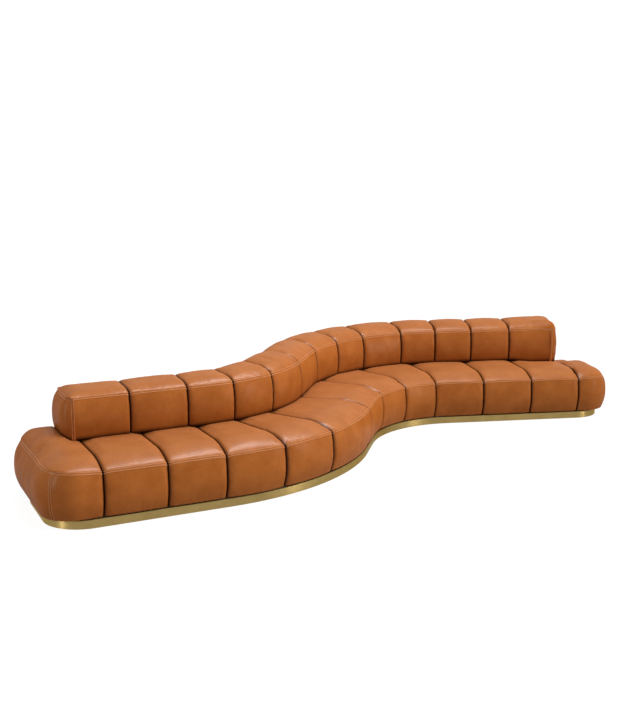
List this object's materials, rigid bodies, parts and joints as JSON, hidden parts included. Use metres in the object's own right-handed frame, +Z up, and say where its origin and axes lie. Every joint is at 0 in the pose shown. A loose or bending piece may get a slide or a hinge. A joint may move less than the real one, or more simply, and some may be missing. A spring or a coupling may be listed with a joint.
{
  "type": "curved sofa",
  "caption": "S-shaped lounge sofa with a channelled leather seat, a low channelled back bolster and a brass plinth band, built in joined modules.",
  "frame": {"origin": "middle of the footprint's bounding box, on the floor", "axes": "+X along the sofa's overall length, from its left wing to its right wing as seen from the front; +Y from the seat's front to its back; +Z up"},
  "size_m": [5.4484, 2.817, 0.822],
  "materials": {
    "leather": "cognac semi-aniline leather, fine grain, soft sheen",
    "brass": "satin brushed sheet brass",
    "plywood": "raw birch plywood",
    "steel": "zinc-plated steel",
    "felt": "pressed black felt"
  },
  "bodies": {
    "root": {"back_channel_01": "leather", "back_channel_02": "leather", "back_channel_03": "leather", "back_channel_04": "leather", "back_channel_05": "leather", "back_channel_06": "leather", "back_channel_07": "leather", "back_channel_08": "leather", "back_channel_09": "leather", "back_channel_10": "leather", "back_channel_11": "leather", "back_channel_12": "leather", "back_channel_13": "leather", "left_back_panel": "plywood", "left_base_board": "plywood", "left_brass_band": "brass", "left_deck": "plywood", "left_front_glide": "felt", "left_front_rail": "plywood", "left_joining_plate": "steel", "left_left_end_board": "plywood", "left_rear_glide": "felt", "left_rear_rail": "plywood", "left_right_end_board": "plywood", "middle_back_panel": "plywood", "middle_base_board": "plywood", "middle_deck": "plywood", "middle_front_brass_band": "brass", "middle_front_glide": "felt", "middle_front_rail": "plywood", "middle_left_end_board": "plywood", "middle_rear_brass_band": "brass", "middle_rear_glide": "felt", "middle_rear_rail": "plywood", "middle_right_end_board": "plywood", "right_back_panel": "plywood", "right_base_board": "plywood", "right_brass_band": "brass", "right_deck": "plywood", "right_front_glide": "felt", "right_front_rail": "plywood", "right_joining_plate": "steel", "right_left_end_board": "plywood", "right_rear_glide": "felt", "right_rear_rail": "plywood", "right_right_end_board": "plywood", "seat_channel_01": "leather", "seat_channel_02": "leather", "seat_channel_03": "leather", "seat_channel_04": "leather", "seat_channel_05": "leather", "seat_channel_06": "leather", "seat_channel_07": "leather", "seat_channel_08": "leather", "seat_channel_09": "leather", "seat_channel_10": "leather", "seat_channel_11": "leather", "seat_channel_12": "leather", "seat_channel_13": "leather"}
  },
  "joints": []
}
